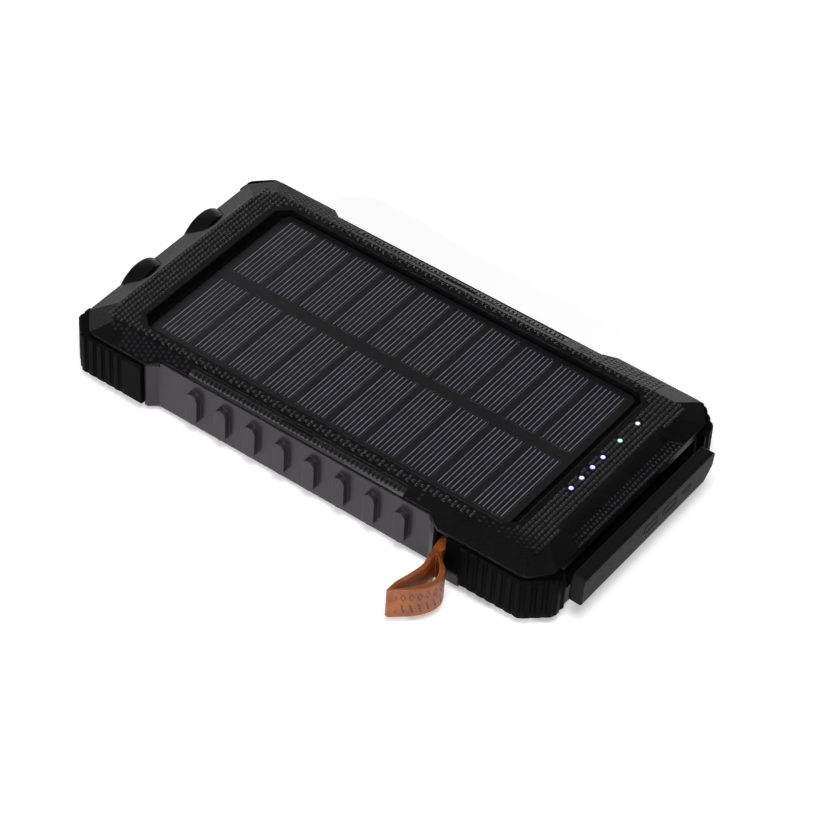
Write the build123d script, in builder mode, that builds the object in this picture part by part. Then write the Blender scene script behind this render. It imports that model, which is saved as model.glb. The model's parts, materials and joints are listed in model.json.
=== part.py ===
from build123d import *
import os
import math

# Rugged solar power bank.  Millimetres, +Z up, Y along the length (+Y torch end,
# -Y port end), X across the width.  Origin on the resting plane, under the
# centre of the solar panel.
os.makedirs("parts", exist_ok=True)

# ---------------------------------------------------------------- driving sizes
y_torch = 75.0          # torch end of the shells
y_port = -76.0          # port end of the shells
hw_corner = 40.35       # half width of the shells at the four corners
hw_mid = 38.3           # half width between the corners
z_top = 20.25           # flat top frame
z_edge = 17.7           # foot of the top shell's bevel at the corners
z_part = 16.9           # parting plane of the two shells
hw_flat = 33.3          # half width of the flat top frame
y_flat_t = 68.9         # flat frame ends, torch end and port end
y_flat_p = -70.2

bay_hw = 30.6           # panel bay in the top shell
bay_hl = 60.2
bay_floor = 17.0
panel_hw = 29.9         # solar laminate
panel_hl = 57.8
panel_z = 18.6
cell_len = 26.0         # one cell across the width
cell_wid = 9.3          # one cell along the length
cell_pitch = 11.27
cell_gap = 3.9          # bar between the two rows

wall = 2.0
skin = 2.4              # side covers stand this far outside the tub

side_z0, side_z1 = 2.0, 18.2        # grey side covers
hw_lip = 37.6           # inside face of their upper lip
pad_pitch, pad_w, pad_h = 9.65, 3.8, 10.4
pad_y0 = 35.0
bump_z0, bump_z1 = 3.4, 16.8        # corner bumpers
bump_hw = 41.65
bump_torch = [(bump_hw, 50.7), (bump_hw, 71.2), (36.4, 76.5), (32.2, 76.6)]     # outer line, right side
bump_port = [(bump_hw, -47.7), (bump_hw, -71.2), (35.6, -77.9), (31.2, -77.9)]
rib_pitch = 2.85
rib_block = 7.0         # smooth length before the first groove
lead_len, lead_back = 4.6, 0.9      # set-back start of the bumper beside the strap

torch_x, torch_z = 13.35, 10.8
torch_r, torch_r_in = 9.6, 7.4
torch_face = 75.6

flap_x0, flap_x1 = -31.9, 27.4
hinge_y, hinge_z = -78.3, 4.7
pin_r = 0.75

tail_z = 6.2            # top of the side cover's tail, under the strap
strap_y = -45.2
strap_pin_x = -35.2
strap_z0, strap_z1 = 3.2, 12.9

screw_xy = [(30.0, 66.4), (-30.0, 66.4), (31.2, -62.0), (-31.2, -62.0), (24.0, -34.9), (-24.0, -34.9)]


def outline_points():
    """Plan of the shells: chamfered corners, and a shallow waist on each long side."""
    right = [(33.6, y_torch), (hw_corner, 69.2), (hw_corner, 49.6), (hw_mid, 47.0),
             (hw_mid, -41.0), (hw_corner, -44.6), (hw_corner, -71.1), (34.5, y_port)]
    left = [(-x, y) for x, y in reversed(right)]
    return right + left


def plan(off):
    """The plan outline as a face, moved outwards by off."""
    with BuildSketch() as s:
        with BuildLine():
            Polyline(*outline_points(), close=True)
        make_face()
        if off:
            offset(amount=off, kind=Kind.INTERSECTION)
    return s.sketch


def plan_round(off, r):
    """The same outline with its vertices rounded."""
    with BuildSketch() as s:
        add(plan(off))
        corner = [v for v in s.vertices() if abs(v.Y) > 62]
        waist = [v for v in s.vertices() if abs(v.Y) <= 62]
        fillet(corner, r)
        fillet(waist, 1.6)
    return s.sketch


def octagon(hw, yt, yp, cx, cyt, cyp):
    with BuildSketch() as s:
        with BuildLine():
            Polyline((hw - cx, yt), (hw, yt - cyt), (hw, yp + cyp), (hw - cx, yp),
                     (-hw + cx, yp), (-hw, yp + cyp), (-hw, yt - cyt), (-hw + cx, yt), close=True)
        make_face()
    return s.sketch


def bumper_outer(points, line):
    """The two bends of a bumper's outer line."""
    return [v for v in points if any(abs(abs(v.X) - x) < 0.01 and abs(v.Y - y) < 0.01 for x, y in line[1:3])]


def save(part, name, colour):
    part.label = name
    part.color = Color(*colour)
    export_step(part, "parts/" + name + ".step")


BLACK = (0.05, 0.05, 0.055)
GREY = (0.42, 0.40, 0.43)

# ------------------------------------------------------------------- top shell
with BuildPart() as crown:
    with BuildSketch(Plane.XY.offset(z_edge)):
        add(octagon(hw_corner, y_torch, y_port, 6.75, 5.8, 4.9))
    with BuildSketch(Plane.XY.offset(z_top)):
        add(octagon(hw_flat, y_flat_t, y_flat_p, 6.75 * 0.72, 5.8 * 0.72, 4.9 * 0.72))
    loft(ruled=True)

# scooped ledge over the ports, wider towards the end
with BuildPart() as scoop:
    with BuildSketch(Plane.YZ):
        with BuildLine():
            Polyline((y_flat_p, z_top + 0.3), (y_flat_p, z_top), (-72.3, 17.8), (-78, 17.5), (-78, z_top + 0.3), close=True)
        make_face()
    extrude(amount=26, both=True)
    with BuildSketch(Plane.XY.offset(17)):
        with BuildLine():
            Polyline((21.4, -70.0), (24.9, -78.0), (-24.9, -78.0), (-21.4, -70.0), close=True)
        make_face()
    extrude(amount=5, mode=Mode.INTERSECT)

with BuildPart() as top_shell:
    with BuildSketch(Plane.XY.offset(z_edge)):
        add(plan_round(0, 4.0))
    extrude(amount=z_top - z_edge)
    add(crown.part, mode=Mode.INTERSECT)
    with BuildSketch(Plane.XY.offset(z_part)):
        add(plan_round(0, 4.0))
    extrude(amount=z_edge - z_part)
    # soften the rim of the flat frame
    rim = [e for e in top_shell.edges() if abs(e.center().Z - z_top) < 0.01]
    try:
        fillet(rim, 1.2)
    except Exception:
        pass
    add(scoop.part, mode=Mode.SUBTRACT)
    # plate that carries the panel, below the parting plane
    with BuildSketch(Plane.XY.offset(15.6)):
        Rectangle(2 * (bay_hw + 1.6), 2 * (bay_hl + 1.6))
    extrude(amount=z_part - 15.6)
    # panel bay with chamfered corners
    with BuildSketch(Plane.XY.offset(bay_floor)):
        Rectangle(2 * bay_hw, 2 * bay_hl)
        chamfer(vertices(), 3.0)
    extrude(amount=5, mode=Mode.SUBTRACT)
    # room under the frame at both ends
    with BuildSketch(Plane.XY.offset(z_part)):
        with Locations((0, 65.7)):
            Rectangle(52, 6.6)
        with Locations((0, -65.4)):
            Rectangle(50, 6.8)
    extrude(amount=1.5, mode=Mode.SUBTRACT)
    # seats of the two grip strips on the long bevels
    for sx in (1, -1):
        with BuildSketch(Plane.XZ.offset(31.6)):
            with BuildLine():
                Polyline((sx * 34.6, 21.5), (sx * 34.6, 18.9), (sx * 37.9, 17.9), (sx * 37.9, 21.5), close=True)
            make_face()
        extrude(amount=-69.8, mode=Mode.SUBTRACT)
    # waist: the shell stops short of the side covers' upper lip
    with BuildSketch(Plane.XY.offset(z_part - 0.1)):
        for sx in (1, -1):
            with Locations((sx * (hw_lip + 1.5), 3.0)):
                Rectangle(3.0, 87.8)
    extrude(amount=5, mode=Mode.SUBTRACT)
    # torch openings
    for tx in (torch_x, -torch_x):
        with BuildSketch(Plane.XZ.offset(-70.5)):
            with Locations((tx, torch_z)):
                Circle(torch_r + 0.05)
        extrude(amount=-8, mode=Mode.SUBTRACT)
        with BuildSketch(Plane.XZ.offset(-61.9)):
            with Locations((tx, torch_z)):
                Circle(torch_r_in + 0.1)
        extrude(amount=-9, mode=Mode.SUBTRACT)
    # screw posts
    with BuildSketch(Plane.XY.offset(7.0)):
        with Locations(*screw_xy):
            Circle(2.3)
    extrude(amount=z_part - 7.0)
    with BuildSketch(Plane.XY.offset(6.9)):
        with Locations(*screw_xy):
            Circle(1.02)
    extrude(amount=7.6, mode=Mode.SUBTRACT)
    # light-pipe holes and the panel-lead hole
    with BuildSketch(Plane.XY.offset(z_part)):
        with Locations((4.6, -63.7), (-0.1, -63.7), (-5.0, -63.7), (-9.7, -63.7), (12.35, -63.7), (20.5, -63.7)):
            Circle(0.72)
    extrude(amount=4, mode=Mode.SUBTRACT)
    with BuildSketch(Plane.XY.offset(15)):
        with Locations((0, -52)):
            Rectangle(8, 5)
    extrude(amount=3, mode=Mode.SUBTRACT)
save(top_shell.part, "top_shell", BLACK)

# ---------------------------------------------------------------- bottom shell
with BuildPart() as bottom_shell:
    with BuildSketch(Plane.XY):
        add(plan(-skin - 2.0))
    with BuildSketch(Plane.XY.offset(2.0)):
        add(plan(-skin))
    loft(ruled=True)
    with BuildSketch(Plane.XY.offset(2.0)):
        add(plan(-skin))
    extrude(amount=z_part - 2.0)
    # end blocks between the bumpers
    with BuildSketch(Plane.XY.offset(1.2)):
        with Locations((0, (72.0 + 75.6) / 2)):
            Rectangle(64.0, 3.6)
        with Locations((0, (-73.0 + y_port) / 2)):
            Rectangle(2 * (bump_port[-1][0] - 0.1), 3.0)
    extrude(amount=z_part - 1.2)
    # tub
    with BuildSketch(Plane.XY.offset(wall)):
        add(plan(-skin - wall))
    extrude(amount=20, mode=Mode.SUBTRACT)
    # port wall: a shelf across the end with the port recess in front of it
    with BuildSketch(Plane.XY.offset(wall)):
        with Locations((0, (-69.8 - 73.6) / 2)):
            Rectangle(66.4, 3.8)
    extrude(amount=z_part - wall)
    with BuildSketch(Plane.XZ.offset(71.4)):
        with Locations((0, 11.05)):
            Rectangle(60.3, 8.5)
            chamfer(vertices(), 1.0)
    extrude(amount=6, mode=Mode.SUBTRACT)
    with BuildSketch(Plane.XZ.offset(69.0)):
        with Locations((-15.0, 11.05), (4.0, 11.05)):
            Rectangle(14.7, 7.3)
        with Locations((20.5, 9.2)):
            Rectangle(8.2, 3.6)
    extrude(amount=3, mode=Mode.SUBTRACT)
    # torch openings
    for tx in (torch_x, -torch_x):
        with BuildSketch(Plane.XZ.offset(-70.3)):
            with Locations((tx, torch_z)):
                Circle(torch_r + 0.05)
        extrude(amount=-6, mode=Mode.SUBTRACT)
    # screw posts with head pockets
    with BuildSketch(Plane.XY.offset(1.0)):
        with Locations(*screw_xy):
            Circle(2.9)
    extrude(amount=5.9)
    with BuildSketch(Plane.XY.offset(-0.1)):
        with Locations(*screw_xy):
            Circle(1.1)
    extrude(amount=8, mode=Mode.SUBTRACT)
    with BuildSketch(Plane.XY.offset(-0.1)):
        with Locations(*screw_xy):
            Circle(2.1)
    extrude(amount=2.0, mode=Mode.SUBTRACT)
    # standoffs of the main board
    with BuildSketch(Plane.XY.offset(1.5)):
        with Locations((26.0, -54.0), (-26.0, -54.0), (0, -40.0)):
            Circle(2.2)
    extrude(amount=6.3 - 1.5)
    with BuildSketch(Plane.XY.offset(3.0)):
        with Locations((26.0, -54.0), (-26.0, -54.0), (0, -40.0)):
            Circle(0.82)
    extrude(amount=4, mode=Mode.SUBTRACT)
    # strap housing: a closed pocket inside the wall, its mouth in the side
    with BuildSketch(Plane.XY.offset(1.0)):
        with Locations((-34.35, strap_y)):
            Rectangle(5.9, 8.6)
    extrude(amount=13.7)
    with BuildSketch(Plane.XY.offset(strap_z0 - 0.3)):
        with Locations((-36.6, strap_y)):
            Rectangle(8.4, 5.6)
    extrude(amount=strap_z1 - strap_z0 + 0.6, mode=Mode.SUBTRACT)
    with BuildSketch(Plane.XY.offset(1.6)):
        with Locations((strap_pin_x, strap_y)):
            Circle(1.05)
    extrude(amount=12.6, mode=Mode.SUBTRACT)
    # hole for the button stem
    with BuildSketch(Plane.YZ.offset(33)):
        with Locations((-37.6, 10.0)):
            Circle(1.6)
    extrude(amount=5, mode=Mode.SUBTRACT)
    # gasket groove in the parting face, both sides and the port end
    with BuildSketch(Plane.XY.offset(z_part - 0.7)):
        add(plan(-skin - 0.5))
        add(plan(-skin - 1.4), mode=Mode.SUBTRACT)
        with Locations((0, 70)):
            Rectangle(100, 20, mode=Mode.SUBTRACT)
    extrude(amount=2, mode=Mode.SUBTRACT)
    # hinge ears under the port recess
    for ex in (21.0, -21.0):
        with BuildSketch(Plane.YZ.offset(ex - 1.2)):
            with BuildLine():
                Polyline((-75.5, 2.4), (-78.6, 3.0), (-79.9, 4.0), (-79.9, 5.4), (-79.0, 6.2), (-75.5, 6.2), close=True)
            make_face()
            with Locations((hinge_y, hinge_z)):
                Circle(pin_r + 0.0, mode=Mode.SUBTRACT)
        extrude(amount=2.4)
save(bottom_shell.part, "bottom_shell", BLACK)

with BuildPart() as shell_gasket:
    with BuildSketch(Plane.XY.offset(z_part - 0.7)):
        add(plan(-skin - 0.5))
        add(plan(-skin - 1.4), mode=Mode.SUBTRACT)
        with Locations((0, 70)):
            Rectangle(100, 20, mode=Mode.SUBTRACT)
    extrude(amount=0.7)
save(shell_gasket.part, "shell_gasket", (0.1, 0.1, 0.1))

with BuildPart() as case_screws:
    with BuildSketch(Plane.XY.offset(0.5)):
        with Locations(*screw_xy):
            Circle(1.95)
    extrude(amount=1.4)
    with BuildSketch(Plane.XY.offset(1.9)):
        with Locations(*screw_xy):
            Circle(1.0)
    extrude(amount=12.0)
    # cross recess in each head
    with BuildSketch(Plane.XY.offset(0.4)):
        with Locations(*screw_xy):
            Rectangle(2.2, 0.5)
            Rectangle(0.5, 2.2)
    extrude(amount=0.9, mode=Mode.SUBTRACT)
save(case_screws.part, "case_screws", (0.35, 0.35, 0.36))

# ----------------------------------------------------------------- solar panel
cell_y = [cell_pitch * (i - 4.5) for i in range(10)]
cell_x = cell_gap / 2 + cell_len / 2
with BuildPart() as solar_cells:
    with BuildSketch(Plane.XY.offset(panel_z - 0.25)):
        with Locations(*[(sx * cell_x, y) for sx in (1, -1) for y in cell_y]):
            Rectangle(cell_len, cell_wid)
    extrude(amount=0.25)
save(solar_cells.part, "solar_cells", (0.07, 0.07, 0.12))

with BuildPart() as solar_laminate:
    with BuildSketch(Plane.XY.offset(bay_floor)):
        RectangleRounded(2 * panel_hw, 2 * panel_hl, 2.4)
    extrude(amount=panel_z - bay_floor)
    with BuildSketch(Plane.XY.offset(panel_z - 0.25)):
        with Locations(*[(sx * cell_x, y) for sx in (1, -1) for y in cell_y]):
            Rectangle(cell_len, cell_wid)
    extrude(amount=1, mode=Mode.SUBTRACT)
save(solar_laminate.part, "solar_laminate", (0.03, 0.03, 0.04))

# --------------------------------------------------------------- grip strips
for name, sx in (("grip_strip_left", -1), ("grip_strip_right", 1)):
    with BuildPart() as grip_strip:
        with BuildSketch(Plane.XZ.offset(31.5)):
            with BuildLine():
                Polyline((sx * 34.65, 18.93), (sx * 34.65, 19.35), (sx * 35.3, 19.45), (sx * 36.7, 19.05), (sx * 37.0, 18.6),
                         (sx * 37.55, 18.4), (sx * 37.55, 18.05), close=True)
            make_face()
        extrude(amount=-69.6)
        # cross grooves that leave a row of teeth
        with BuildSketch(Plane.XY.offset(18.75)):
            with Locations((sx * 36.2, 3.3)):
                with GridLocations(1, 1.35, 1, 50):
                    Rectangle(1.5, 0.6)
        extrude(amount=2, mode=Mode.SUBTRACT)
        with BuildSketch(Plane.XY.offset(18.75)):
            with Locations((sx * 35.5, 3.3)):
                SlotOverall(10.0, 1.0, rotation=90)
        extrude(amount=2, mode=Mode.SUBTRACT)
    save(grip_strip.part, name, BLACK)

# ---------------------------------------------------------- grey side covers
def cover_plan(sx, off):
    """Plan of a side cover, between the tub's wall and the outer line moved in by off."""
    end = -42.8 if sx < 0 else -47.4
    with BuildSketch() as s:
        add(plan(-0.02 - off))
        add(plan(-skin + 0.05), mode=Mode.SUBTRACT)
        with BuildSketch(mode=Mode.INTERSECT):
            with Locations((sx * 40, (50.4 + end) / 2)):
                Rectangle(12, 50.4 - end)
    return s.sketch


def side_cover(sx):
    with BuildPart() as c:
        with BuildSketch(Plane.XY.offset(side_z0 + 0.9)):
            add(cover_plan(sx, 0))
        extrude(amount=z_part - 0.05 - side_z0 - 0.9)
        # lower edge turns in a little
        with BuildSketch(Plane.XY.offset(side_z0)):
            add(cover_plan(sx, 0.6))
        with BuildSketch(Plane.XY.offset(side_z0 + 0.9)):
            add(cover_plan(sx, 0))
        loft(ruled=True)
        # upper lip under the waist of the top shell
        with BuildSketch(Plane.XY.offset(z_part - 0.05)):
            with Locations((sx * (hw_lip + 0.05 + hw_mid) / 2, 3.0)):
                Rectangle(hw_mid - hw_lip - 0.05, 87.4)
        extrude(amount=side_z1 - z_part + 0.05)
        # raised oval pads
        for i in range(8):
            with BuildSketch(Plane.YZ.offset(sx * 38.0)):
                with Locations((pad_y0 - pad_pitch * i, 10.0)):
                    SlotOverall(pad_h, pad_w, rotation=90)
            extrude(amount=sx * 2.0)
    return c


cl = side_cover(-1)
with BuildPart() as side_cover_left:
    add(cl.part)
    pads = side_cover_left.faces().filter_by(Axis.X).sort_by(Axis.X)[0:8]
    try:
        fillet([e for f in pads for e in f.edges()], 1.2)
    except Exception:
        pass
    # low tail that runs on under the corner bumper
    with BuildSketch(Plane.XY.offset(side_z0 + 0.6)):
        with Locations((-39.6, -50.15)):
            Rectangle(3.1, 4.7)
    extrude(amount=tail_z - side_z0 - 0.6)
    with BuildSketch(Plane.XY.offset(side_z0)):
        with Locations((-39.1, -46.9)):
            Rectangle(2.1, 9.0)
    extrude(amount=0.9)
    # cut back behind, where it passes over the strap housing
    with BuildSketch(Plane.XY.offset(0.9)):
        with Locations((-36.3, strap_y)):
            Rectangle(2.1, 9.0)
    extrude(amount=13.95, mode=Mode.SUBTRACT)
save(side_cover_left.part, "side_cover_left", GREY)

cr = side_cover(1)
with BuildPart() as side_cover_right:
    add(cr.part)
    pads = side_cover_right.faces().filter_by(Axis.X).sort_by(Axis.X)[-8:]
    try:
        fillet([e for f in pads for e in f.edges()], 1.2)
    except Exception:
        pass
    # button window, with a wider pocket behind for the button's flange
    with BuildSketch(Plane.YZ.offset(35)):
        with Locations((-37.6, 10.0)):
            SlotOverall(9.3, 4.3, rotation=90)
    extrude(amount=6, mode=Mode.SUBTRACT)
    with BuildSketch(Plane.YZ.offset(35)):
        with Locations((-37.6, 10.0)):
            SlotOverall(10.8, 5.8, rotation=90)
    extrude(amount=2.5, mode=Mode.SUBTRACT)
save(side_cover_right.part, "side_cover_right", GREY)

# ------------------------------------------------------------ corner bumpers
def rib_places(line):
    """Groove axes just outside a bumper's outer line, one pitch apart."""
    out = []
    at = rib_block
    total = sum(math.dist(p, q) for p, q in zip(line, line[1:]))
    while at < total - 1.0:
        d = at
        for p, q in zip(line, line[1:]):
            run = math.dist(p, q)
            if d <= run:
                ux, uy = (q[0] - p[0]) / run, (q[1] - p[1]) / run
                nx, ny = uy, -ux
                if nx * p[0] + ny * p[1] < 0:
                    nx, ny = -nx, -ny
                out.append((p[0] + ux * d + nx * 0.12, p[1] + uy * d + ny * 0.12))
                break
            d -= run
        at += rib_pitch
    return out


for name, sx, line in (("bumper_torch_left", -1, bump_torch), ("bumper_torch_right", 1, bump_torch),
                       ("bumper_port_left", -1, bump_port), ("bumper_port_right", 1, bump_port)):
    sy = 1 if line[0][1] > 0 else -1
    with BuildPart() as bumper:
        with BuildSketch(Plane.XY.offset(bump_z0)):
            with BuildLine():
                Polyline(*[(sx * x, y) for x, y in line], (sx * line[-1][0], sy * 72.0), (sx * 33.5, sy * 66.0),
                         (sx * 35.0, line[0][1]), close=True)
            make_face()
            corner = [v for v in bumper_outer(vertices(), line)]
            fillet(corner, 2.6)
            add(plan(-skin + 0.05), mode=Mode.SUBTRACT)
            with Locations((0, (-73.0 + y_port) / 2)):
                Rectangle(2 * (bump_port[-1][0] - 0.05), 3.0, mode=Mode.SUBTRACT)
        extrude(amount=bump_z1 - bump_z0)
        # the outer top and bottom edges are eased
        outer = [e for e in bumper.edges().filter_by(Plane.XY)
                 if abs(e.center().X) > bump_hw - 0.4 or abs(e.center().Y) > abs(line[-1][1]) - 0.4
                 or (abs(e.center().X) > 36.9 and abs(e.center().Y) > 72.4)]
        try:
            chamfer(outer, 0.6)
        except Exception:
            pass
        with BuildSketch(Plane.XY.offset(bump_z0 - 0.5)):
            with Locations(*[(sx * x, y) for x, y in rib_places(line)]):
                Circle(0.78)
        extrude(amount=bump_z1 - bump_z0 + 1.0, mode=Mode.SUBTRACT)
        if name == "bumper_port_left":
            # set back beside the strap's mouth, so the loop can swing past
            with BuildSketch(Plane.XY.offset(bump_z0 - 0.5)):
                with Locations((-bump_hw, -47.7 - lead_len / 2)):
                    Rectangle(2 * lead_back, lead_len + 0.2)
            extrude(amount=bump_z1 - bump_z0 + 1.0, mode=Mode.SUBTRACT)
            # cut-out over the tail of the side cover
            with BuildSketch(Plane.XY.offset(bump_z0 - 0.5)):
                with Locations((-40.0, -49.8)):
                    Rectangle(6.0, 5.6)
            extrude(amount=tail_z - bump_z0 + 0.6, mode=Mode.SUBTRACT)
    save(bumper.part, name, (0.04, 0.04, 0.04))

# ------------------------------------------------------------------- torches
with BuildPart() as torch_housing:
    with BuildSketch(Plane.XZ.offset(-64.2)):
        with Locations((0, 9.6)):
            Rectangle(46, 13.0)
            chamfer(vertices(), 1.5)
    extrude(amount=-2.0)
    for tx in (torch_x, -torch_x):
        with BuildSketch(Plane.XZ.offset(-64.2)):
            with Locations((tx, torch_z)):
                Circle(torch_r_in)
        extrude(amount=-6.4)
        with BuildSketch(Plane.XZ.offset(-70.6)):
            with Locations((tx, torch_z)):
                Circle(torch_r)
        extrude(amount=-(torch_face - 70.6))
    for tx in (torch_x, -torch_x):
        with BuildSketch(Plane.XZ.offset(-64.0)):
            with Locations((tx, torch_z)):
                Circle(6.6)
        extrude(amount=-7.0, mode=Mode.SUBTRACT)
        with BuildSketch(Plane.XZ.offset(-70.9)):
            with Locations((tx, torch_z)):
                Circle(7.75)
        extrude(amount=-8, mode=Mode.SUBTRACT)
    rims = [e for e in torch_housing.edges().filter_by(GeomType.CIRCLE)
            if abs(e.center().Y - torch_face) < 0.01 and e.radius > 9]
    try:
        fillet(rims, 0.6)
    except Exception:
        pass
save(torch_housing.part, "torch_housing", BLACK)

for name, tx in (("torch_lens_left", -torch_x), ("torch_lens_right", torch_x)):
    with BuildPart() as lens:
        with BuildSketch(Plane.XZ.offset(-73.2)):
            with Locations((tx, torch_z)):
                Circle(7.7)
        extrude(amount=-1.3)
    save(lens.part, name, (0.85, 0.9, 0.95))

for name, tx in (("reflector_left", -torch_x), ("reflector_right", torch_x)):
    with BuildPart() as reflector:
        with BuildSketch(Plane.YZ.offset(tx)):
            with BuildLine():
                Polyline((73.15, torch_z + 7.4), (72.2, torch_z + 7.4), (70.9, torch_z + 6.3), (66.2, torch_z + 3.6), (66.2, torch_z + 2.6),
                         (68.6, torch_z + 4.4), (71.2, torch_z + 5.9), (73.15, torch_z + 6.9), close=True)
            make_face()
        revolve(axis=Axis((tx, 0, torch_z), (0, 1, 0)))
    save(reflector.part, name, (0.8, 0.8, 0.82))

with BuildPart() as torch_board:
    with BuildSketch(Plane.XZ.offset(-62.9)):
        with Locations((0, 9.0)):
            Rectangle(44, 12)
    extrude(amount=-1.2)
save(torch_board.part, "torch_board", (0.05, 0.25, 0.1))

with BuildPart() as torch_leds:
    for tx in (torch_x, -torch_x):
        with BuildSketch(Plane.XZ.offset(-64.1)):
            with Locations((tx, torch_z)):
                Rectangle(3.5, 3.5)
        extrude(amount=-1.0)
        with BuildSketch(Plane.XZ.offset(-65.1)):
            with Locations((tx, torch_z)):
                Circle(1.3)
        extrude(amount=-0.8)
save(torch_leds.part, "torch_leds", (0.95, 0.9, 0.5))

# ---------------------------------------------------------- boards and sockets
with BuildPart() as main_board:
    with BuildSketch(Plane.XY.offset(6.3)):
        with Locations((0, -53.1)):
            Rectangle(66.0, 32.6)
        with Locations((31.2, -62.0), (-31.2, -62.0)):
            Circle(3.1, mode=Mode.SUBTRACT)
        with Locations((34, -62.0), (-34, -62.0)):
            Rectangle(5.6, 6.2, mode=Mode.SUBTRACT)
        with Locations((24.0, -34.9), (-24.0, -34.9)):
            Circle(3.1, mode=Mode.SUBTRACT)
        with Locations((-33.0, strap_y)):
            Rectangle(5.0, 10.4, mode=Mode.SUBTRACT)
        with Locations((26.0, -54.0), (-26.0, -54.0), (0, -40.0)):
            Circle(1.1, mode=Mode.SUBTRACT)
    extrude(amount=1.2)
save(main_board.part, "main_board", (0.05, 0.25, 0.1))

with BuildPart() as board_screws:
    with BuildSketch(Plane.XY.offset(7.5)):
        with Locations((26.0, -54.0), (-26.0, -54.0), (0, -40.0)):
            Circle(1.6)
    extrude(amount=1.1)
    with BuildSketch(Plane.XY.offset(3.2)):
        with Locations((26.0, -54.0), (-26.0, -54.0), (0, -40.0)):
            Circle(0.8)
    extrude(amount=4.3)
save(board_screws.part, "board_screws", (0.6, 0.6, 0.6))

for name, px in (("usb_socket_left", -15.0), ("usb_socket_right", 4.0)):
    with BuildPart() as usb_socket:
        with BuildSketch(Plane.XZ.offset(71.5)):
            with Locations((px, 11.05)):
                Rectangle(14.5, 7.1)
        extrude(amount=-13.9)
        with BuildSketch(Plane.XZ.offset(71.6)):
            with Locations((px, 11.05)):
                Rectangle(13.1, 5.7)
        extrude(amount=-12.5, mode=Mode.SUBTRACT)
    save(usb_socket.part, name, (0.75, 0.75, 0.77))

with BuildPart() as usb_tongues:
    for px in (-15.0, 4.0):
        with BuildSketch(Plane.XZ.offset(71.0)):
            with Locations((px, 12.55)):
                Rectangle(11.1, 1.9)
        extrude(amount=-11.9)
save(usb_tongues.part, "usb_tongues", (0.9, 0.9, 0.92))

with BuildPart() as micro_socket:
    with BuildSketch(Plane.XZ.offset(71.5)):
        with Locations((20.5, 9.2)):
            Rectangle(7.6, 3.0)
            chamfer(vertices().sort_by(Axis.Y)[0:2], 0.8)
    extrude(amount=-6.0)
    with BuildSketch(Plane.XZ.offset(71.6)):
        with Locations((20.5, 9.2)):
            Rectangle(6.9, 2.3)
        with Locations((20.5, 9.45)):
            Rectangle(3.6, 0.6, mode=Mode.SUBTRACT)
    extrude(amount=-5.0, mode=Mode.SUBTRACT)
save(micro_socket.part, "micro_usb_socket", (0.75, 0.75, 0.77))

with BuildPart() as charge_chip:
    with BuildSketch(Plane.XY.offset(7.5)):
        with Locations((8.0, -50.0)):
            Rectangle(6.0, 6.0)
    extrude(amount=1.0)
save(charge_chip.part, "charge_controller", (0.05, 0.05, 0.05))

with BuildPart() as inductor:
    with BuildSketch(Plane.XY.offset(7.5)):
        with Locations((-9.0, -49.5)):
            RectangleRounded(8.0, 8.0, 1.5)
    extrude(amount=4.0)
save(inductor.part, "boost_inductor", (0.25, 0.25, 0.26))

with BuildPart() as indicator_board:
    with BuildSketch(Plane.XY.offset(15.4)):
        with Locations((4.5, -66.0)):
            Rectangle(40.0, 5.6)
    extrude(amount=0.8)
save(indicator_board.part, "indicator_board", (0.05, 0.25, 0.1))

led_x = [4.6, -0.1, -5.0, -9.7, 12.35, 20.5]
with BuildPart() as indicator_leds:
    with BuildSketch(Plane.XY.offset(16.2)):
        with Locations(*[(x, -63.9) for x in led_x]):
            Rectangle(1.6, 0.8)
    extrude(amount=0.6)
save(indicator_leds.part, "indicator_leds", (0.95, 0.95, 0.9))

with BuildPart() as charge_light_pipe:
    with BuildSketch(Plane.XY.offset(16.9)):
        with Locations((-2.55, -63.7)):
            Rectangle(17.2, 2.4)
    extrude(amount=0.9)
    with BuildSketch(Plane.XY.offset(17.8)):
        with Locations(*[(x, -63.7) for x in led_x[:4]]):
            Circle(0.68)
    extrude(amount=z_top + 0.15 - 17.8)
save(charge_light_pipe.part, "charge_light_pipe", (0.6, 0.7, 1.0))

for name, x, col in (("solar_light_pipe", led_x[4], (0.4, 1.0, 0.6)), ("light_sensor_window", led_x[5], (1.0, 1.0, 0.95))):
    with BuildPart() as pipe:
        with BuildSketch(Plane.XY.offset(16.9)):
            with Locations((x, -63.7)):
                Rectangle(3.0, 2.4)
        extrude(amount=0.9)
        with BuildSketch(Plane.XY.offset(17.8)):
            with Locations((x, -63.7)):
                Circle(0.68)
        extrude(amount=z_top + 0.15 - 17.8)
    save(pipe.part, name, col)

# ---------------------------------------------------------- power button
with BuildPart() as power_button:
    with BuildSketch(Plane.YZ.offset(36.9)):
        with Locations((-37.6, 10.0)):
            SlotOverall(9.0, 4.0, rotation=90)
    extrude(amount=2.3)
    try:
        fillet(power_button.faces().sort_by(Axis.X)[-1].edges(), 0.5)
    except Exception:
        pass
    with BuildSketch(Plane.YZ.offset(36.55)):
        with Locations((-37.6, 10.0)):
            SlotOverall(10.2, 5.2, rotation=90)
    extrude(amount=0.75)
    with BuildSketch(Plane.YZ.offset(34.65)):
        with Locations((-37.6, 10.0)):
            Circle(1.4)
    extrude(amount=2.0)
save(power_button.part, "power_button", (0.06, 0.06, 0.06))

with BuildPart() as tact_switch:
    with BuildSketch(Plane.XY.offset(7.5)):
        with Locations((31.6, -39.9)):
            Rectangle(2.8, 7.6)
    extrude(amount=4.6)
    with BuildSketch(Plane.YZ.offset(33.0)):
        with Locations((-37.9, 10.0)):
            Circle(0.9)
    extrude(amount=1.1)
save(tact_switch.part, "tact_switch", (0.2, 0.2, 0.2))

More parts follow.
